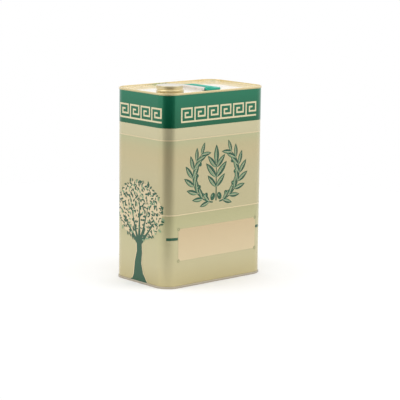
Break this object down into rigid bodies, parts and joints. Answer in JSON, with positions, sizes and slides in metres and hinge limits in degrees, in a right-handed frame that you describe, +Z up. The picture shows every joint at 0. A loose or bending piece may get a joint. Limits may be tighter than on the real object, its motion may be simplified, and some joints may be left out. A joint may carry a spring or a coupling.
{
  "type": "olive oil tin",
  "caption": "Rectangular tinplate oil tin with rounded corners, double-seamed ends, screw-capped pouring neck near one corner and a folding bail handle on top.",
  "frame": {"origin": "middle of the base, on the surface the tin stands on", "axes": "+Z up, +X along the broad faces away from the neck, -Y out of the front face"},
  "size_m": [0.182, 0.116, 0.2721],
  "materials": {
    "printed_tinplate": "printed and varnished",
    "gold_tinplate": "gold lacquered",
    "seam_compound": "matt",
    "natural_polyethylene": "waxy",
    "lacquered_cap": "gold lacquered",
    "liner_foam": "foamed",
    "green_polypropylene": "moulded",
    "bright_tinplate": "bright"
  },
  "bodies": {
    "root": {"body_wall": "printed_tinplate", "top_end": "gold_tinplate", "bottom_end": "gold_tinplate", "top_seam_compound": "seam_compound", "bottom_seam_compound": "seam_compound", "neck": "gold_tinplate", "neck_seal": "seam_compound", "pour_spout": "natural_polyethylene", "handle_bracket": "bright_tinplate"},
    "cap_lift_body": {"cap_liner": "liner_foam"},
    "cap": {"cap_shell": "lacquered_cap"},
    "handle": {"handle_bail": "green_polypropylene"}
  },
  "joints": [
    {"name": "cap_lift", "type": "slide", "parent": "root", "child": "cap_lift_body", "axis": [0, 0, 1], "range_m": [0, 0.016]},
    {"name": "cap_turn", "type": "hinge", "parent": "cap_lift_body", "child": "cap", "pos_m": [-0.062, -0.029, 0.2665], "axis": [0, 0, 1], "range_deg": [0, 1800]},
    {"name": "handle_fold", "type": "hinge", "parent": "root", "child": "handle", "pos_m": [0.004, 0, 0.26235], "axis": [0, -1, 0], "range_deg": [0, 180]}
  ],
  "couplings": [
    {"joint": "cap_lift", "follows": "cap_turn", "m_per_rad": 0.0005093}
  ]
}
